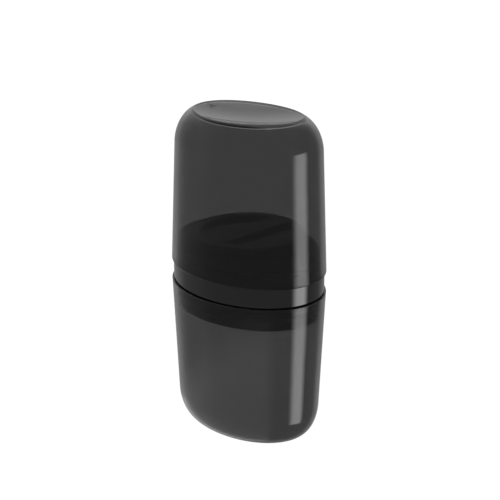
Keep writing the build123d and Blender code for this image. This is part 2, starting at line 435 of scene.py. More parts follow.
@dataclass(frozen=True)
class Silicone:
    """Black silicone: soft sheen, very fine mottling."""

    name: str = "silicone_black"
    shade: float = 0.012
    sheen: float = 0.15
    dullness: tuple[float, float] = (0.42, 0.58)
    dullness_per_metre: float = 900.0
    mottle_per_metre: float = 2600.0
    mottle_mm: float = 0.006

    def material(self) -> bpy.types.Material:
        """Dull black with a light sheen.

        Returns:
            The new material.
        """
        shader = Shader(self.name)
        shader.set(Base_Color=(self.shade, self.shade, self.shade, 1.0), Sheen_Weight=self.sheen)
        shader.roughness(shader.noise(self.dullness_per_metre), *self.dullness)
        shader.bump(shader.noise(self.mottle_per_metre), self.mottle_mm)
        return shader.material


@dataclass(frozen=True)
class TurnedMetal:
    """Metal turned on a lathe: fine rings about the Z axis catch the light in arcs."""

    name: str
    colour: tuple[float, float, float]
    ring_scale: float = 450.0
    ring_wander: float = 0.3
    ring_mm: float = 0.0012
    dullness: tuple[float, float] = (0.2, 0.34)
    dark_tone: float = 0.82
    tone_per_metre: float = 420.0
    dullness_per_metre: float = 700.0
    fineness: float = 4.0

    def material(self) -> bpy.types.Material:
        """Metal with ring-shaped tool marks and a slight change of tone.

        Returns:
            The new material.
        """
        shader = Shader(self.name)
        shader.set(Metallic=1.0)
        tone = shader.node("ShaderNodeMix", data_type="RGBA")
        tone.inputs["A"].default_value = (*self.colour, 1.0)
        tone.inputs["B"].default_value = (*(self.dark_tone * part for part in self.colour), 1.0)
        shade = shader.noise(self.tone_per_metre, self.fineness)
        shader.link(shader.ranged(shade, 0.0, 1.0), tone.inputs["Factor"])
        shader.link(tone.outputs["Result"], shader.surface.inputs["Base Color"])
        shader.roughness(shader.noise(self.dullness_per_metre, self.fineness), *self.dullness)
        rings = shader.node("ShaderNodeTexWave", wave_type="RINGS", rings_direction="Z")
        rings.inputs["Scale"].default_value = self.ring_scale
        rings.inputs["Distortion"].default_value = self.ring_wander
        shader.link(shader.place(), rings.inputs["Vector"])
        shader.bump(rings.outputs["Fac"], self.ring_mm)
        return shader.material


@dataclass(frozen=True)
class Acetal:
    """Natural white acetal: waxy and slightly translucent."""

    name: str = "washer_white"
    colour: tuple[float, float, float] = (0.78, 0.77, 0.72)
    scatter: float = 0.25
    scatter_reach: tuple[float, float, float] = (0.002, 0.0016, 0.0012)
    scatter_scale: float = 0.5
    dullness: tuple[float, float] = (0.3, 0.42)
    dullness_per_metre: float = 600.0

    def material(self) -> bpy.types.Material:
        """Off-white with light scatter just under the skin.

        Returns:
            The new material.
        """
        shader = Shader(self.name)
        shader.set(
            Base_Color=(*self.colour, 1.0),
            Subsurface_Weight=self.scatter,
            Subsurface_Radius=self.scatter_reach,
            Subsurface_Scale=self.scatter_scale,
        )
        shader.roughness(shader.noise(self.dullness_per_metre), *self.dullness)
        return shader.material


POLISHED_BLACK = BlackPlastic(
    "black_gloss", shade=0.0025, ior=1.75, dullness=(0.02, 0.06), grain_per_metre=1200.0, grain_mm=0.0004
)
ETCHED_BLACK = BlackPlastic(
    "black_matte", shade=0.012, ior=1.5, dullness=(0.34, 0.46), grain_per_metre=4200.0, grain_mm=0.012
)
STEEL = TurnedMetal("steel", (0.78, 0.78, 0.79))
ZINC = TurnedMetal("zinc_screw", (0.58, 0.6, 0.62), dullness=(0.28, 0.4))
BRASS = TurnedMetal("brass", (0.76, 0.55, 0.24))


@dataclass
class Finishes:
    """One material for each finish, made once and shared."""

    clear: bpy.types.Material = field(default_factory=lambda: SmokedClear().material())
    gloss: bpy.types.Material = field(default_factory=lambda: POLISHED_BLACK.material())
    matte: bpy.types.Material = field(default_factory=lambda: ETCHED_BLACK.material())
    silicone: bpy.types.Material = field(default_factory=lambda: Silicone().material())
    steel: bpy.types.Material = field(default_factory=lambda: STEEL.material())
    zinc: bpy.types.Material = field(default_factory=lambda: ZINC.material())
    brass: bpy.types.Material = field(default_factory=lambda: BRASS.material())
    acetal: bpy.types.Material = field(default_factory=lambda: Acetal().material())


def dress(piece: bpy.types.Object, material: bpy.types.Material) -> None:
    """Gives a piece one material."""
    piece.data.materials.clear()
    piece.data.materials.append(material)


# ------------------------------------------------------------------------------- oval shapes


@dataclass(frozen=True)
class Oval:
    """The rims' ellipse, which every oval shape is inset from."""

    half_length: float
    half_width: float

    def ring(self, inset: Array, height: Array) -> Array:
        """Rings at insets and heights: half axes less the inset, times cosine and sine.

        Args:
            inset: how far each ring, or each point, lies inside the rims' outline.
            height: z of the same shape.

        Returns:
            Points whose last axes are (around, 3).
        """
        angle = turns()
        inset, height = np.broadcast_arrays(inset, height)
        x = (self.half_length - inset) * np.cos(angle)
        y = (self.half_width - inset) * np.sin(angle)
        return np.stack([x, y, np.broadcast_to(height, x.shape)], axis=-1)

    def swept(self, profile: Array) -> Array:
        """Rings from a profile of (inset, height)."""
        return self.ring(profile[:, :1], profile[:, 1:])

    def inside(self, x: Array, y: Array, inset: Array) -> Array:
        """Below 0 within the ellipse at that inset, and above 0 outside it."""
        return (x / (self.half_length - inset)) ** 2 + (y / (self.half_width - inset)) ** 2 - 1


@dataclass(frozen=True)
class Form:
    """One face of a cup: a wall that narrows from the rim and ends in a quarter-ellipse round.

    With phi from 0 to 90 degrees along the round, the reach from the rim is straight + rise *
    sin(phi), and the inset is start + draft * reach + run * (1 - cos(phi)).
    """

    oval: Oval
    rim: float
    way: float
    depth: float
    run: float
    rise: float
    start: float
    draft: float

    @property
    def straight(self) -> float:
        """Length of the wall before its round."""
        return self.depth - self.rise

    def along(self, phi: Array) -> tuple[Array, Array]:
        """Places on the round.

        Args:
            phi: angles along the round in radians, 0 where the wall ends.

        Returns:
            The insets and the heights at phi.
        """
        reach = self.straight + self.rise * np.sin(phi)
        inset = self.start + self.draft * reach + self.run * (1 - np.cos(phi))
        return inset, self.rim + self.way * reach

    def wall(self, rows: int, trimmed: float) -> Array:
        """Profile of the straight wall from trimmed past the rim to just before the round."""
        reach = np.linspace(trimmed, self.straight, rows, endpoint=False)
        return np.stack([self.start + self.draft * reach, self.rim + self.way * reach], axis=1)

    def round(self, rows: int) -> Array:
        """Profile of the whole round."""
        inset, height = self.along(np.linspace(0, np.pi / 2, rows))
        return np.stack([inset, height], axis=1)

    def height_at(self, x: Array, y: Array) -> Array:
        """Height of the round over places: phi is halved in until its ellipse meets each place.

        Args:
            x: places along the long axis.
            y: places along the short axis.

        Returns:
            The heights, of the same shape.
        """
        low, high = np.zeros_like(x), np.full_like(x, np.pi / 2)
        for _ in range(SEARCH_STEPS):
            middle = (low + high) / 2
            outside = self.oval.inside(x, y, self.along(middle)[0]) > 0
            low, high = np.where(outside, low, middle), np.where(outside, middle, high)
        return self.along(low)[1]


@dataclass(frozen=True)
class Dimple:
    """Shallow hollow in the top: the underside of an ellipsoid of three half axes."""

    floor: float
    half_axes: tuple[float, float, float]

    @classmethod
    def through_lip(
        cls, lip: tuple[float, float], rises: tuple[float, float], floor: float, radius: float
    ) -> Dimple:
        """Fits the ellipsoid: a half axis is the lip's over the sine whose cosine is 1 - rise / radius.

        Args:
            lip: the lip's half length and half width.
            rises: how far its ends and its sides lie above the floor.
            floor: height of the hollow's lowest point.
            radius: the ellipsoid's upright half axis.

        Returns:
            The hollow whose edge goes through the lip.
        """
        level = 1 - np.array(rises) / radius
        across = np.array(lip) / np.sqrt(1 - level**2)
        return cls(floor, (float(across[0]), float(across[1]), radius))

    def grown(self, wall: float) -> Dimple:
        """The same hollow seen from inside a wall."""
        a, b, c = self.half_axes
        return Dimple(self.floor - wall, (a + wall, b + wall, c + wall))

    def height_at(self, x: Array, y: Array) -> Array:
        """Height of the hollow over places: floor + c * (1 - sqrt(1 - (x / a)^2 - (y / b)^2)).

        Args:
            x: places along the long axis.
            y: places along the short axis.

        Returns:
            The heights, of the same shape.
        """
        a, b, c = self.half_axes
        left = np.clip(1 - (x / a) ** 2 - (y / b) ** 2, 0, None)
        return self.floor + c * (1 - np.sqrt(left))


def lower_of(a: Array, b: Array, softness: float) -> Array:
    """The lower of two heights, with the edge between them rounded by about softness."""
    return -softness * np.logaddexp(-a / softness, -b / softness)


def dimpled_top(form: Form, dimple: Dimple, softness: float, rows: int) -> Array:
    """Rings of a round and of the dimple in it, from the round's start to the middle.

    The lip lies where the round and the dimple have one height, found by halving phi. Rows gather
    at the lip, and each point takes the lower of the two heights.

    Args:
        form: the cup's face.
        dimple: the hollow in it.
        softness: how far the lip's edge is rounded.
        rows: rings on each side of the lip.

    Returns:
        Rings of shape (2 * rows, around, 3).
    """
    low = np.zeros(AROUND)
    high = np.full(AROUND, np.pi / 2)
    for _ in range(SEARCH_STEPS):
        middle = (low + high) / 2
        inset, height = form.along(middle)
        ring = form.oval.ring(inset, height)
        under = height < dimple.height_at(ring[:, 0], ring[:, 1])
        low, high = np.where(under, middle, low), np.where(under, high, middle)
    share = 1 - (1 - np.linspace(0, 1, rows, endpoint=False)[:, None]) ** 2
    inset, height = form.along(low * share)
    outer = form.oval.ring(inset, height)
    lip = form.oval.ring(*form.along(low))
    shrunk = 1 - np.linspace(0, 1, rows, endpoint=False)[:, None, None] ** 2
    place = np.concatenate([outer[..., :2], lip[..., :2] * shrunk])
    x, y = place[..., 0], place[..., 1]
    heights = lower_of(form.height_at(x, y), dimple.height_at(x, y), softness)
    heights[0] = outer[0, :, 2]
    return np.concatenate([place, heights[..., None]], axis=-1)


# ------------------------------------------------------------------------------- the pieces


@dataclass(frozen=True)
class UpperCup:
    """Smoked clear cup over the top: drafted wall, large round and a dimple with a crisp lip."""

    oval: Oval
    rim: float
    top: float = 98.0
    wall: float = 1.4
    draft: float = 0.042
    run: float = 7.6
    rise: float = 10.15
    lip: tuple[float, float] = (18.2, 13.0)
    dimple_depth: float = 2.0
    dimple_radius: float = 40.0
    rim_edge: float = 0.25
    lip_softness: float = 0.04
    inner_softness: float = 0.16
    wall_rows: int = 14
    round_rows: int = 34

    def outer(self) -> Form:
        """The outside."""
        return Form(self.oval, self.rim, 1.0, self.top - self.rim, self.run, self.rise, 0.0, self.draft)

    def inner(self) -> Form:
        """The inside, a wall's thickness in.

        Returns:
            The inner face.
        """
        depth = self.top - self.rim - self.wall
        run, rise = self.run - self.wall, self.rise - self.wall
        return Form(self.oval, self.rim, 1.0, depth, run, rise, self.wall, self.draft)

    def lip_height(self, half_axis: float, half: float) -> float:
        """Height of the outer round where its half axis has shrunk to the lip's.

        Args:
            half_axis: the lip's half axis.
            half: the rim's half axis the same way.

        Returns:
            The height of the lip there.
        """
        form = self.outer()
        level = 1 - (half - half_axis - form.draft * form.depth) / form.run
        return self.top - self.rise * (1 - float(np.sqrt(1 - level**2)))

    def dimple(self) -> Dimple:
        """The hollow that meets the round at the lip.

        Returns:
            The hollow in the outer face.
        """
        end = self.lip_height(self.lip[0], self.oval.half_length)
        side = self.lip_height(self.lip[1], self.oval.half_width)
        floor = end - self.dimple_depth
        return Dimple.through_lip(self.lip, (end - floor, side - floor), floor, self.dimple_radius)

    def skin(self) -> Skin:
        """Rings from the dimple's middle over the lip, down the wall, round the rim and up inside.

        Returns:
            The closed cup.
        """
        outer, inner, dimple = self.outer(), self.inner(), self.dimple()
        trim = 2 * self.rim_edge
        rim = rounded(
            [(self.draft * trim, self.rim + trim), (0.0, self.rim), (self.wall, self.rim),
             (self.wall + self.draft * trim, self.rim + trim)],
            [0.0, self.rim_edge, self.rim_edge, 0.0],
        )
        rings = [
            dimpled_top(outer, dimple, self.lip_softness, self.round_rows)[::-1],
            self.oval.swept(outer.wall(self.wall_rows, trim)[:0:-1]),
            self.oval.swept(rim),
            self.oval.swept(inner.wall(self.wall_rows, trim)[1:]),
            dimpled_top(inner, dimple.grown(self.wall), self.inner_softness, self.round_rows),
        ]
        return stacked(np.concatenate(rings))

    def build(self, finishes: Finishes) -> None:
        """Makes the cup."""
        piece = add_mesh("upper_cup_shell", self.skin(), "upper_cup", "upper_cup")
        dress(piece, finishes.clear)


@dataclass(frozen=True)
class LowerCup:
    """Smoked clear cup that the capsule stands on: drafted wall, small round and a flat floor."""

    oval: Oval
    rim: float
    wall: float = 1.4
    floor: float = 1.2
    draft: float = 0.042
    run: float = 4.35
    rise: float = 8.6
    rim_edge: float = 0.25
    wall_rows: int = 14
    round_rows: int = 30
    flat_rows: int = 8

    def outer(self) -> Form:
        """The outside."""
        return Form(self.oval, self.rim, -1.0, self.rim, self.run, self.rise, 0.0, self.draft)

    def inner(self) -> Form:
        """The inside, a wall in and a floor up."""
        run, rise = self.run - self.wall, self.rise - self.floor
        return Form(self.oval, self.rim, -1.0, self.rim - self.floor, run, rise, self.wall, self.draft)

    def flat(self, inset: float, height: float, rows: int) -> Array:
        """Rings that shrink evenly from an inset to the middle at one height.

        Args:
            inset: the largest ring's inset.
            height: z of them all.
            rows: how many rings.

        Returns:
            Rings of shape (rows, around, 3).
        """
        share = np.linspace(1, 0, rows, endpoint=False)[:, None, None]
        ring = self.oval.ring(np.array(inset), np.array(height))
        return ring * np.array([1, 1, 0]) * share + ring * np.array([0, 0, 1])

    def skin(self) -> Skin:
        """Rings from under the middle, over the round, up the wall, round the rim and down inside.

        Returns:
            The closed cup.
        """
        outer, inner = self.outer(), self.inner()
        foot = float(outer.along(np.array(np.pi / 2))[0])
        trim = 2 * self.rim_edge
        rim = rounded(
            [(self.draft * trim, self.rim - trim), (0.0, self.rim), (self.wall, self.rim),
             (self.wall + self.draft * trim, self.rim - trim)],
            [0.0, self.rim_edge, self.rim_edge, 0.0],
        )
        inner_end = float(inner.along(np.array(np.pi / 2))[0])
        rings = [
            self.flat(foot, 0.0, self.flat_rows)[:0:-1],
            self.oval.swept(outer.round(self.round_rows)[::-1]),
            self.oval.swept(outer.wall(self.wall_rows, trim)[:0:-1]),
            self.oval.swept(rim),
            self.oval.swept(inner.wall(self.wall_rows, trim)[1:]),
            self.oval.swept(inner.round(self.round_rows)),
            self.flat(inner_end, self.floor, self.flat_rows)[1:],
        ]
        return stacked(np.concatenate(rings))

    def build(self, finishes: Finishes) -> None:
        """Makes the cup."""
        piece = add_mesh("lower_cup_shell", self.skin(), "lower_cup", "lower_cup")
        dress(piece, finishes.clear)


@dataclass(frozen=True)
class Fixing:
    """Round boss with a blind hole that a screw from below bites into."""

    radius: float = 2.3
    bore: float = 1.13
    bottom: float = 40.4
    bore_top: float = 48.2
    top: float = 57.0
    edge: float = 0.15
    around: int = 40

    def skin(self) -> Skin:
        """Rings down the hole, out over the bottom face and up the outside.

        Returns:
            The boss, closed at the top of the hole and inside the deck.
        """
        profile = [
            (self.bore, self.bore_top), (self.bore, self.bottom),
            (self.radius, self.bottom), (self.radius, self.top),
        ]
        return stacked(lathe(rounded(profile, [0.0, self.edge, self.edge, 0.0]), self.around))


@dataclass(frozen=True)
class Housing:
    """Oval core: spigot, seal grooves, proud band with a shadow gap under it, skirt and deck."""

    oval: Oval
    bottom: float
    top: float
    lower_rim: float
    upper_rim: float
    spigot_inset: float = 2.05
    band_inset: float = 0.55
    gap_inset: float = 0.8
    gap: float = 0.2
    seat: float = 0.03
    groove_depth: float = 1.0
    seal_height: float = 1.8
    seal_bottoms: tuple[float, float] = (54.4, 41.2)
    wall: float = 2.2
    deck: float = 2.5
    hole: float = 13.24
    deck_ring: float = 1.2
    edge: float = 0.4
    band_edge: float = 0.3
    fine: float = 0.12
    fixings: tuple[tuple[float, float], ...] = ((17.6, 5.6), (17.6, -5.6), (-17.6, 5.6), (-17.6, -5.6))

    def groove(self, bottom: float) -> list[tuple[float, float]]:
        """Corners of a seal groove from its top edge to its bottom edge."""
        deep, top = self.spigot_inset + self.groove_depth, bottom + self.seal_height
        return [(self.spigot_inset, top), (deep, top), (deep, bottom), (self.spigot_inset, bottom)]

    def skin(self) -> Skin:
        """Rings over the deck, down the spigot, band and skirt, and up the cavity to the hole.

        Returns:
            The closed housing without its fixings.
        """
        spigot, band = self.spigot_inset, self.band_inset
        upper, lower = self.seal_bottoms
        seat = self.lower_rim + self.seat
        cavity, ceiling = spigot + self.wall, self.top - self.deck
        middle = spigot + self.deck_ring
        corners = [
            (middle, self.top), (spigot, self.top),
            *self.groove(upper),
            (spigot, self.upper_rim - self.seat), (band, self.upper_rim - self.seat),
            (band, self.lower_rim + self.gap), (self.gap_inset, self.lower_rim + self.gap),
            (self.gap_inset, seat), (spigot, seat),
            *self.groove(lower),
            (spigot, self.bottom), (cavity, self.bottom), (cavity, ceiling),
        ]
        fine = self.fine
        radii = [
            0.0, self.edge, fine, fine, fine, fine, fine, self.band_edge, self.band_edge, fine, 0.0, fine,
            fine, fine, fine, fine, self.edge, fine, 0.0,
        ]
        hole = Oval(self.hole, self.hole)
        none = np.array([[0.0]])
        rings = [
            hole.ring(none, np.array([[self.top]])),
            self.oval.swept(rounded(corners, radii)),
            hole.ring(none, np.array([[ceiling]])),
        ]
        return stacked(np.concatenate(rings), End.LOOP)

    def build(self, finishes: Finishes) -> None:
        """Makes the housing with its four fixings.

        Args:
            finishes: the materials to choose from.
        """
        skin = self.skin()
        for place in self.fixings:
            skin = skin.plus(Fixing().skin().turned(0.0, place))
        dress(add_mesh("core_housing", skin, "core", "body_housing"), finishes.gloss)


@dataclass(frozen=True)
class OvalSeal:
    """Silicone ring in a groove of the core: two soft lips with a hollow between them."""

    node: str
    oval: Oval
    bottom: float
    top: float
    outer: float = 1.7
    inner: float = 3.04
    lip_edge: float = 0.32
    hollow: float = 0.28
    hollow_edge: float = 0.1
    hollow_round: float = 0.12

    def skin(self) -> Skin:
        """The lips' profile swept round the oval.

        Returns:
            The closed ring.
        """
        middle, quarter = (self.bottom + self.top) / 2, (self.top - self.bottom) / 4
        corners = [
            (self.inner, self.bottom), (self.outer, self.bottom), (self.outer, middle - quarter / 2),
            (self.outer + self.hollow, middle), (self.outer, middle + quarter / 2), (self.outer, self.top),
            (self.inner, self.top),
        ]
        hollow = [self.hollow_edge, self.hollow_round, self.hollow_edge]
        soft = [0.0, self.lip_edge, *hollow, self.lip_edge, 0.0]
        return stacked(self.oval.swept(rounded(corners, soft)), End.LOOP)

    def build(self, finishes: Finishes) -> None:
        """Makes the seal."""
        piece = add_mesh(f"{self.node}_ring", self.skin(), "core", self.node)
        dress(piece, finishes.silicone)


def hexagon(half_flats: float, height: Array, around: int) -> Array:
    """Rings round a hexagon: its radius is half_flats over the cosine of the angle from a flat.

    Args:
        half_flats: half the width across flats.
        height: z of each ring, of shape (rings, 1).
        around: points in one ring.

    Returns:
        Rings of shape (rings, around, 3).
    """
    angle = turns(around)
    sixth = np.pi / 3
    radius = half_flats / np.cos((angle + sixth / 2) % sixth - sixth / 2)
    height = np.broadcast_to(height, (len(height), around))
    x, y = (np.broadcast_to(part, height.shape) for part in (radius * np.cos(angle), radius * np.sin(angle)))
    return np.stack([x, y, height], axis=-1)


@dataclass(frozen=True)
class Knob:
    """Round cap with a fluted edge and a finger bar between two crescent recesses."""

    radius: float = 17.1
    bottom: float = 59.5
    top: float = 62.1
    edge: float = 0.5
    under_edge: float = 0.15
    rim_flat: float = 1.0
    groove_land: float = 0.6
    recess: float = 13.8
    depth: float = 1.3
    half_bar: float = 3.5
    recess_edge: float = 0.35
    recess_corner: float = 0.5
    recess_draft: float = 0.08
    recess_flat: float = 2.2
    flutes: int = 60
    flute_radius: float = 0.4
    flute_out: float = 0.13
    flute_samples: int = 12
    flute_top: float = 61.1
    flute_fade: float = 0.4
    fade_start: float = 0.02
    fade_rows: int = 6
    seal_groove: tuple[float, float] = (14.3, 15.7)
    seal_depth: float = 0.9
    seal_gap: float = 0.03
    seal_lowest: float = 59.25
    seal_edge: float = 0.35
    hub_half_flats: float = 6.4
    hub_bottom: float = 52.18
    hub_hole: float = 2.23
    hub_hole_top: float = 56.4
    line_points: int = 60

    @property
    def around(self) -> int:
        """Points in one ring."""
        return self.flutes * self.flute_samples

    def fluted(self, radius: Array, height: Array) -> Array:
        """Rings with flutes: where a flute's circle reaches past the ring, the ring gives way.

        With delta the angle from the flute's middle, the circle's near side lies at
        c * cos(delta) - sqrt(r * r - (c * sin(delta)) ** 2). Flutes fade out at their top.

        Args:
            radius: radius of each ring, of shape (rings, 1).
            height: z of each ring, of the same shape.

        Returns:
            Rings of shape (rings, around, 3).
        """
        angle = turns(self.around)
        pitch = 2 * np.pi / self.flutes
        delta = (angle + pitch / 2) % pitch - pitch / 2
        centre = self.radius + self.flute_out
        under = np.clip(self.flute_radius**2 - (centre * np.sin(delta)) ** 2, 0, None)
        cut = np.where(under > 0, self.radius - (centre * np.cos(delta) - np.sqrt(under)), 0.0)
        fade = np.clip((self.flute_top - height) / self.flute_fade, 0, 1)
        at = radius - np.clip(cut, 0, None) * np.sqrt(fade)
        return np.stack([at * np.cos(angle), at * np.sin(angle), np.broadcast_to(height, at.shape)], axis=-1)

    def under_rings(self) -> Array:
        """Rings from the top's outer edge down the fluted side, under the cap and over its hub.

        Returns:
            Rings of shape (n, around, 3), which end at the top of the hub's hole.
        """
        low, high = self.seal_groove
        side = rounded(
            [(self.radius - self.rim_flat, self.top), (self.radius, self.top),
             (self.radius, self.bottom), (high + self.groove_land, self.bottom)],
            [0.0, self.edge, self.under_edge, 0.0],
        )
        start, end = self.flute_top + self.fade_start, self.flute_top - self.flute_fade
        steps = np.linspace(start, end, self.fade_rows)
        split = int(np.argmax(side[:, 1] < self.flute_top))
        fade = np.stack([np.full_like(steps, self.radius), steps], axis=1)
        side = np.concatenate([side[:split], fade, side[split:]])
        groove_top = self.bottom + self.seal_depth
        groove = [(high, self.bottom), (high, groove_top), (low, groove_top), (low, self.bottom)]
        hub_low, hub_high = np.array([[self.hub_bottom]]), np.array([[self.bottom]])
        hole = [(self.hub_hole, self.hub_bottom), (self.hub_hole, self.hub_hole_top)]
        return np.concatenate([
            self.fluted(side[:, :1], side[:, 1:]),
            lathe(np.array(groove), self.around),
            hexagon(self.hub_half_flats, hub_high, self.around),
            hexagon(self.hub_half_flats, hub_low, self.around),
            lathe(np.array(hole), self.around),
        ])

    def half_loop(self, arc: Array, line_x: float, height: float) -> Array:
        """One D-shaped loop: an arc of points, then a straight line back.

        Args:
            arc: the arc's points, whose first two columns are x and y.
            line_x: x of the straight line.
            height: z of the loop.

        Returns:
            Points of shape (n, 3).
        """
        line_y = np.linspace(arc[-1, 1], arc[0, 1], self.line_points + 2)[1:-1]
        xy = np.concatenate([arc[:, :2], np.stack([np.full_like(line_y, line_x), line_y], axis=1)])
        return np.concatenate([xy, np.full((len(xy), 1), height)], axis=1)

    def recess_loop(self, inset: float, height: float) -> Array:
        """The recess's D-shaped outline, with its arc and its straight side moved inwards.

        Args:
            inset: how far it is moved.
            height: z of the loop.

        Returns:
            Points of shape (n, 3).
        """
        radius, line_x = self.recess - inset, self.half_bar + inset
        end = np.arccos(line_x / radius)
        angle = np.linspace(-end, end, self.around // 2 + 1)
        return self.half_loop(radius * np.stack([np.cos(angle), np.sin(angle)], axis=1), line_x, height)

    def half_top(self, rim: Array) -> Skin:
        """Half of the top, from the recess's middle out to half of the rim's points.

        Args:
            rim: the first ring under the top.

        Returns:
            The half with positive x, open along the rim and along x = 0.
        """
        floor = self.top - self.depth
        wall = rounded(
            [(self.recess_flat, floor), (self.recess_draft, floor),
             (0.0, self.top), (-self.rim_flat, self.top)],
            [0.0, self.recess_corner, self.recess_edge, 0.0],
        )
        loops = [self.recess_loop(float(inset), float(height)) for inset, height in wall]
        middle = loops[0].mean(axis=0)
        inner = [middle + (loops[0] - middle) * share for share in (0.25, 0.5, 0.75)]
        half = self.around // 4
        arc = np.roll(rim, half, axis=0)[: 2 * half + 1]
        arc[[0, -1], 0] = 0.0
        return stacked(np.stack([*inner, *loops, self.half_loop(arc, 0.0, self.top)]), End.FIRST_POLE)

    def skin(self) -> Skin:
        """Both halves of the top on the rings below them.

        Returns:
            The closed cap.
        """
        under = self.under_rings()
        half = self.half_top(under[0])
        return half.plus(half.turned(np.pi)).plus(stacked(under, End.LAST_POLE)).welded().outward()

    def build(self, finishes: Finishes) -> None:
        """Makes the cap and the seal under it.

        Args:
            finishes: the materials to choose from.
        """
        dress(add_mesh("knob_top", self.skin(), "knob", "knob_cap"), finishes.gloss)
        low, high = self.seal_groove[0] + self.seal_gap, self.seal_groove[1] - self.seal_gap
        top = self.bottom + self.seal_depth
        profile = rounded(
            [(low, top), (low, self.seal_lowest), (high, self.seal_lowest), (high, top)],
            [0.0, self.seal_edge, self.seal_edge, 0.0],
        )
        seal = stacked(lathe(profile), End.LOOP)
        dress(add_mesh("knob_seal_ring", seal, "knob", "knob_seal"), finishes.silicone)


@dataclass(frozen=True)
class Plug:
    """Press plug: a round body with a hexagonal socket and three helical lugs."""

    radius: float = 10.43
    bottom: float = 49.53
    top: float = 59.47
    bottom_edge: float = 0.5
    top_edge: float = 0.25
    top_inner: float = 8.0
    socket_half_flats: float = 6.45
    socket_floor: float = 52.13
    hole: float = 1.3
    lead: float = 16.0
    starts: int = 3
    lug_middle: float = 51.4
    lug_arc: float = 30.0
    lug_tip: float = 11.8
    lug_root: float = 9.9
    lug_height: float = 2.2
    lug_edge: float = 0.3
    lug_steps: int = 25

    def body(self) -> Skin:
        """Rings under the plug, up its side, over its top and down into the socket.

        Returns:
            The closed plug without its lugs.
        """
        outside = rounded(
            [(self.hole, self.bottom), (self.radius, self.bottom),
             (self.radius, self.top), (self.top_inner, self.top)],
            [0.0, self.bottom_edge, self.top_edge, 0.0],
        )
        rings = [
            lathe(outside),
            hexagon(self.socket_half_flats, np.array([[self.top], [self.socket_floor]]), AROUND),
            lathe(np.array([[self.hole, self.socket_floor]])),
        ]
        return stacked(np.concatenate(rings), End.LOOP)

    def lug(self) -> Skin:
        """A rounded bar that climbs lead per turn: its section rises by lead * angle / one turn.

        Returns:
            One closed lug about the X axis.
        """
        half = self.lug_height / 2
        section = rounded(
            [(self.lug_root, -half), (self.lug_tip, -half), (self.lug_tip, half), (self.lug_root, half)],
            [0.0, self.lug_edge, self.lug_edge, 0.0],
        )
        share = np.linspace(-1, 1, self.lug_steps)
        angle = np.radians(self.lug_arc / 2) * share[:, None]
        height = self.lug_middle + section[:, 1] + self.lead * angle / (2 * np.pi)
        at = np.broadcast_to(section[:, 0], height.shape)
        return stacked(np.stack([at * np.cos(angle), at * np.sin(angle), height], axis=-1))

    def build(self, finishes: Finishes) -> None:
        """Makes the plug with its lugs.

        Args:
            finishes: the materials to choose from.
        """
        skin, lug = self.body(), self.lug()
        for turn in range(self.starts):
            skin = skin.plus(lug.turned(2 * np.pi * turn / self.starts))
        dress(add_mesh("plug_body", skin, "knob", "press_screw"), finishes.matte)


@dataclass(frozen=True)
class Arrow:
    """Small thin arrow in the dimple that points outwards along the long axis."""

    tip: float = -17.0
    tail: float = -13.9
    half_width: float = 1.3
    proud: float = 0.03
    sunk: float = 0.05
    steps: int = 12
    upper_shares: tuple[float, ...] = (0.4, 0.8, 0.97, 1.0)
    lower_shares: tuple[float, ...] = (1.0, 0.8, 0.4)

    def skin(self, dimple: Dimple) -> Skin:
        """Two sheets of rings that shrink to the arrow's middle, above and below the surface.

        Args:
            dimple: the hollow that the arrow lies in.

        Returns:
            The closed arrow.
        """
        corner = np.array([[self.tip, 0.0], [self.tail, -self.half_width], [self.tail, self.half_width]])
        share = np.linspace(0, 1, self.steps, endpoint=False)[:, None]
        sides = [corner[k] + (corner[(k + 1) % 3] - corner[k]) * share for k in range(3)]
        outline = np.concatenate(sides)
        middle = corner.mean(axis=0)
        rings = []
        for lift, shares in ((self.proud, self.upper_shares), (-self.sunk, self.lower_shares)):
            for part in shares:
                flat = middle + (outline - middle) * part
                drop = self.proud / 2 if part == 1.0 and lift > 0 else 0.0
                height = dimple.height_at(flat[:, 0], flat[:, 1]) + lift - drop
                rings.append(np.concatenate([flat, height[:, None]], axis=1))
        return stacked(np.stack(rings))

    def build(self, cup: UpperCup, finishes: Finishes) -> None:
        """Makes the arrow on the cup."""
        piece = add_mesh("alignment_arrow", self.skin(cup.dimple()), "upper_cup", "")
        dress(piece, finishes.matte)


# ------------------------------------------------------------------------------- the studio


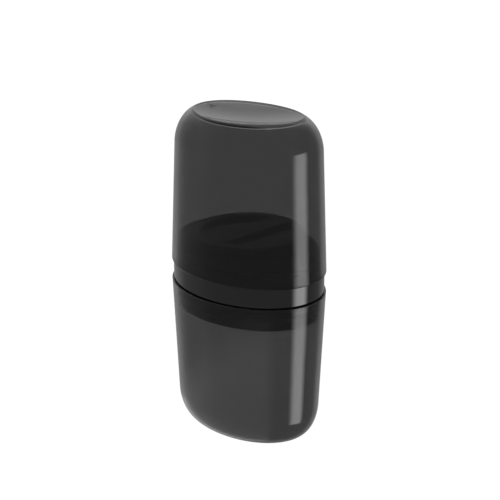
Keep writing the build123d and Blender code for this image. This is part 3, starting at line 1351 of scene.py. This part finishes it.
@dataclass(frozen=True)
class Studio:
    """Pale floor, white backdrop and soft lights.

    The backdrop is white to the eye and through the cups. What a surface mirrors is a dim room
    with a pale back wall, a wide soft panel on the left, another low down and a tall strip light
    on the right.
    Angles are in degrees and strengths are the surroundings' brightness. An edge holds where it
    lies and how far it is blended on each side. The back wall's edges are cosines of the angle
    from the camera's far side, and the soft pairs are for azimuth and elevation.
    """

    azimuth: float = 44.85
    elevation: float = 19.69
    distance: float = 356.6
    aim_right: float = 0.6
    aim_up: float = 6.2
    lens: float = 85.3
    nearest: float = 0.01
    floor_half: float = 3.0
    floor_drop: float = 0.02
    floor_shade: float = 0.03
    floor_dullness: float = 0.9
    floor_glow: float = 1.0
    backdrop: float = 1.05
    room: float = 0.205
    back: float = 0.15
    back_high: float = 0.24
    back_top: float = 0.4
    back_edge: tuple[float, float] = (0.62, 0.18)
    back_middle: tuple[float, float] = (0.85, 0.1)
    high_edge: tuple[float, float] = (4.0, 12.0)
    top_edge: tuple[float, float] = (34.0, 8.0)
    panel: float = 0.02
    panel_azimuth: tuple[float, float] = (-150.0, -41.0)
    panel_soft: float = 3.0
    low_panel: float = 0.26
    low_panel_azimuth: tuple[float, float] = (-120.0, 48.0)
    low_panel_top: float = -28.4
    low_panel_soft: tuple[float, float] = (13.0, 1.6)
    strip: float = 2.95
    strip_azimuth: tuple[float, float] = (93.0, 122.3)
    strip_elevation: tuple[float, float] = (-38.0, 5.5)
    strip_soft: tuple[float, float] = (8.5, 0.8)

    def add_camera(self, height: float) -> None:
        """Camera on a sphere about the object's middle, aimed a little right of it and above it.

        Args:
            height: the object's height in metres.
        """
        turn, lift = np.radians(self.azimuth), np.radians(self.elevation)
        back = Vector((np.sin(turn) * np.cos(lift), -np.cos(turn) * np.cos(lift), np.sin(lift)))
        right = Vector((np.cos(turn), np.sin(turn), 0.0))
        up = back.cross(right)
        aim = Vector((0, 0, height / 2)) + right * self.aim_right * MM + up * self.aim_up * MM
        data = bpy.data.cameras.new("camera")
        data.lens = self.lens
        data.clip_start = self.nearest
        camera = bpy.data.objects.new("camera", data)
        axes = Matrix((right, up, back)).transposed().to_4x4()
        camera.matrix_world = Matrix.Translation(aim + back * self.distance * MM) @ axes
        bpy.context.scene.collection.objects.link(camera)
        bpy.context.scene.camera = camera

    def add_floor(self) -> None:
        """White floor, lit from within so that no contact shadow shows on it.

        Mirrored light passes through it, so the surroundings below it stay a dim room.
        """
        mesh = bpy.data.meshes.new("floor")
        half = self.floor_half
        corners = [(-half, -half, 0), (half, -half, 0), (half, half, 0), (-half, half, 0)]
        mesh.from_pydata(corners, [], [(0, 1, 2, 3)])
        floor = bpy.data.objects.new("floor", mesh)
        floor.location.z = -self.floor_drop * MM
        floor.visible_glossy = False
        floor.visible_shadow = False
        bpy.context.scene.collection.objects.link(floor)
        shader = Shader("floor_white")
        shader.set(
            Base_Color=(self.floor_shade, self.floor_shade, self.floor_shade, 1.0),
            Roughness=self.floor_dullness,
            Specular_IOR_Level=0.0,
            Emission_Color=(1.0, 1.0, 1.0, 1.0),
            Emission_Strength=self.floor_glow,
        )
        path = shader.node("ShaderNodeLightPath")
        clear = shader.node("ShaderNodeBsdfTransparent")
        mix = shader.node("ShaderNodeMixShader")
        shader.link(path.outputs["Glossy Depth"], mix.inputs["Fac"])
        shader.link(shader.surface.outputs["BSDF"], mix.inputs[1])
        shader.link(clear.outputs["BSDF"], mix.inputs[2])
        shader.link(mix.outputs["Shader"], shader.tree.nodes["Material Output"].inputs["Surface"])
        dress(floor, shader.material)

    def add_world(self) -> None:
        """White surroundings for the eye, for scattered light and for light passing through the cups.

        For light that has been mirrored, strength comes from the direction's azimuth and
        elevation: room, plus the back wall, the panels and the strip, each between soft edges.
        """
        world = bpy.data.worlds.new("studio")
        world.use_nodes = True
        tree = world.node_tree
        tree.nodes.clear()

        def math(kind: str, a: object, b: object = 0.0) -> bpy.types.NodeSocket:
            """A Math node.

            Args:
                kind: its operation.
                a: the first socket or number.
                b: the second socket or number.

            Returns:
                Its result.
            """
            node = tree.nodes.new("ShaderNodeMath")
            node.operation = kind
            for value, socket in zip((a, b), node.inputs):
                if isinstance(value, bpy.types.NodeSocket):
                    tree.links.new(value, socket)
                else:
                    socket.default_value = value
            return node.outputs[0]

        def step(value: object, edge: float, soft: float) -> bpy.types.NodeSocket:
            """A smooth step from 0 to 1.

            Args:
                value: what is compared with the edge.
                edge: where the step lies.
                soft: how far it is blended on each side.

            Returns:
                0 below the edge and 1 above it.
            """
            node = tree.nodes.new("ShaderNodeMapRange")
            node.interpolation_type = "SMOOTHSTEP"
            node.inputs["From Min"].default_value = edge - soft
            node.inputs["From Max"].default_value = edge + soft
            tree.links.new(value, node.inputs["Value"])
            return node.outputs["Result"]

        def between(value: object, span: tuple[float, float], soft: float) -> bpy.types.NodeSocket:
            """1 inside the span."""
            return math("SUBTRACT", step(value, span[0], soft), step(value, span[1], soft))

        way = tree.nodes.new("ShaderNodeTexCoord").outputs["Generated"]
        split = tree.nodes.new("ShaderNodeSeparateXYZ")
        tree.links.new(way, split.inputs[0])
        x, y, z = split.outputs
        azimuth = math("DEGREES", math("ARCTAN2", x, math("MULTIPLY", y, -1.0)))
        elevation = math("DEGREES", math("ARCSINE", z))
        behind = math("COSINE", math("RADIANS", math("SUBTRACT", azimuth, self.azimuth + 180.0)))
        high = math("MULTIPLY", step(elevation, *self.high_edge), self.back_high)
        high = math("ADD", high, math("MULTIPLY", step(elevation, *self.top_edge), self.back_top))
        low = math("SUBTRACT", 1.0, step(elevation, self.low_panel_top, self.low_panel_soft[1]))
        low = math("MULTIPLY", low, between(azimuth, self.low_panel_azimuth, self.low_panel_soft[0]))
        strip = between(azimuth, self.strip_azimuth, self.strip_soft[0])
        strip = math("MULTIPLY", strip, between(elevation, self.strip_elevation, self.strip_soft[1]))
        panel = between(azimuth, self.panel_azimuth, self.panel_soft)
        strength = self.room
        for where, bright in (
            (step(behind, *self.back_edge), self.back),
            (step(behind, *self.back_middle), high),
            (panel, self.panel),
            (low, self.low_panel),
            (strip, self.strip),
        ):
            strength = math("ADD", strength, math("MULTIPLY", where, bright))
        mirrored = math("MINIMUM", tree.nodes.new("ShaderNodeLightPath").outputs["Glossy Depth"], 1.0)
        mix = tree.nodes.new("ShaderNodeMix")
        tree.links.new(mirrored, mix.inputs["Factor"])
        mix.inputs["A"].default_value = self.backdrop
        tree.links.new(strength, mix.inputs["B"])
        background = tree.nodes.new("ShaderNodeBackground")
        background.inputs["Color"].default_value = (1, 1, 1, 1)
        tree.links.new(mix.outputs["Result"], background.inputs["Strength"])
        output = tree.nodes.new("ShaderNodeOutputWorld")
        tree.links.new(background.outputs[0], output.inputs["Surface"])
        world.cycles.sampling_method = "NONE"
        bpy.context.scene.world = world

    def build(self, height: float) -> None:
        """Sets up the camera, floor and surroundings.

        Args:
            height: the object's height in metres.
        """
        self.add_camera(height)
        self.add_floor()
        self.add_world()
        bpy.context.scene.view_settings.view_transform = "Standard"


def millimetres(node: str) -> tuple[Array, Array]:
    """A CAD node's lowest and highest corners in millimetres."""
    low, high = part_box(node)
    return np.array(low) / MM, np.array(high) / MM


def main() -> None:
    """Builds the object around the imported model."""
    logging.basicConfig(level=logging.INFO, format="%(name)s: %(message)s")
    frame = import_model()
    finishes = Finishes()
    by_slot = {
        "smoked_clear": finishes.clear,
        "black_gloss": finishes.gloss,
        "black_matte": finishes.matte,
        "silicone_black": finishes.silicone,
        "steel": finishes.steel,
        "zinc_screw": finishes.zinc,
        "brass": finishes.brass,
        "washer_white": finishes.acetal,
    }
    for part in frame["record"]["subparts"]:
        dress(frame["nodes"][part["node"]], by_slot[part["material_slot"]])
    low, high = millimetres("upper_cup")
    oval = Oval(float(high[0]), float(high[1]))
    upper_rim, lower_rim = float(low[2]), float(millimetres("lower_cup")[1][2])
    cup = UpperCup(oval, upper_rim)
    cup.build(finishes)
    Arrow().build(cup, finishes)
    LowerCup(oval, lower_rim).build(finishes)
    core = millimetres("body_housing")
    Housing(oval, float(core[0][2]), float(core[1][2]), lower_rim, upper_rim).build(finishes)
    for seal in ("upper_seal", "lower_seal"):
        ends = millimetres(seal)
        OvalSeal(seal, oval, float(ends[0][2]), float(ends[1][2])).build(finishes)
    Knob().build(finishes)
    Plug().build(finishes)
    Studio().build(float(high[2]) * MM)


if __name__ == "__main__":
    main()
